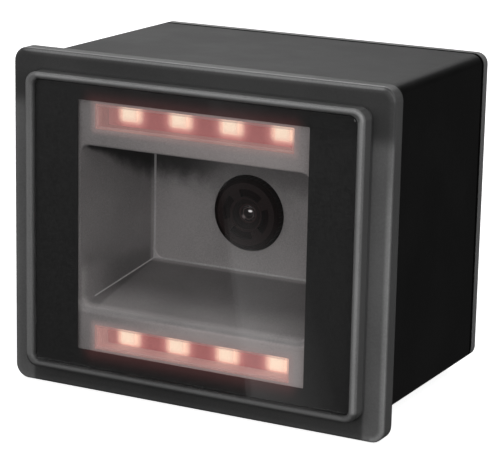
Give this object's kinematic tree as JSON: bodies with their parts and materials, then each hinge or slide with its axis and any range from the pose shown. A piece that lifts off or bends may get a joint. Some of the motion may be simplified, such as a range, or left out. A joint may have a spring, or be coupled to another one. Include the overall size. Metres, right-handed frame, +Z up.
{
  "type": "fixed-mount barcode scanner",
  "caption": "Upright panel-mount imaging barcode scanner: flanged bezel, masked window over a lit camera recess, black box housing and screwed rear cover.",
  "frame": {"origin": "under the middle of the bounding box, at the height of the flange's lower edge", "axes": "+X to the right seen from the front, +Y from the window towards the rear cover, +Z up"},
  "size_m": [0.08, 0.055, 0.066],
  "materials": {
    "bezel_plastic": "fine-textured dark grey moulded plastic",
    "housing_plastic": "fine-textured black moulded plastic",
    "cover_plastic": "fine-textured dark grey moulded plastic",
    "shroud_plastic": "matt grey moulded plastic, lightly speckled",
    "window_glass": "clear hard-coated window",
    "mask_film": "satin black printed film",
    "foam": "matt black closed-cell foam",
    "circuit_board": "green solder mask over glass-fibre board",
    "chip_plastic": "matt black moulding compound",
    "lens_plastic": "matt black anodised and moulded lens parts",
    "lens_glass": "coated optical glass",
    "sensor_glass": "sensor cover glass",
    "led_window": "translucent pink-tinted diffuser strip",
    "led": "warm white glowing emitter",
    "flex": "amber polyimide film",
    "ribbon": "white flat ribbon cable",
    "label": "blank silver-grey sticker",
    "screw_steel": "black-zinc steel",
    "spacer_brass": "plain turned brass"
  },
  "bodies": {
    "scanner_case": {"blank_label": "label", "board_screw_1": "screw_steel", "board_screw_2": "screw_steel", "board_screw_3": "screw_steel", "board_screw_4": "screw_steel", "board_spacer_1": "spacer_brass", "board_spacer_2": "spacer_brass", "board_spacer_3": "spacer_brass", "board_spacer_4": "spacer_brass", "buzzer": "chip_plastic", "camera_board": "circuit_board", "camera_ribbon": "ribbon", "case_screw_1": "screw_steel", "case_screw_2": "screw_steel", "case_screw_3": "screw_steel", "case_screw_4": "screw_steel", "front_bezel": "bezel_plastic", "image_sensor": "sensor_glass", "inner_shroud": "shroud_plastic", "interface_socket": "chip_plastic", "ir_filter": "lens_glass", "led_board_bottom": "circuit_board", "led_board_top": "circuit_board", "led_bottom_1": "led", "led_bottom_2": "led", "led_bottom_3": "led", "led_bottom_4": "led", "led_flex_bottom": "flex", "led_flex_top": "flex", "led_top_1": "led", "led_top_2": "led", "led_top_3": "led", "led_top_4": "led", "led_window_bottom": "led_window", "led_window_top": "led_window", "lens_holder": "lens_plastic", "main_board": "circuit_board", "main_housing": "housing_plastic", "memory_chip": "chip_plastic", "processor_chip": "chip_plastic", "rear_cover": "cover_plastic", "rear_seal": "foam", "window_gasket": "foam", "window_glass": "window_glass", "window_mask": "mask_film"},
    "lens_cell": {"lens_front_glass": "lens_glass", "lens_rear_glass": "lens_glass"},
    "lens_head": {"lens_ring": "lens_plastic", "lens_barrel": "lens_plastic"}
  },
  "joints": [
    {"name": "focus_travel", "type": "slide", "parent": "scanner_case", "child": "lens_cell", "axis": [0, 1, 0], "range_m": [-0.00025, 0.00025]},
    {"name": "focus_turn", "type": "hinge", "parent": "lens_cell", "child": "lens_head", "pos_m": [0, 0, 0.0339], "axis": [0, 1, 0], "range_deg": [-180, 180]}
  ],
  "couplings": [
    {"joint": "focus_turn", "follows": "focus_travel", "rad_per_m": 12566}
  ]
}
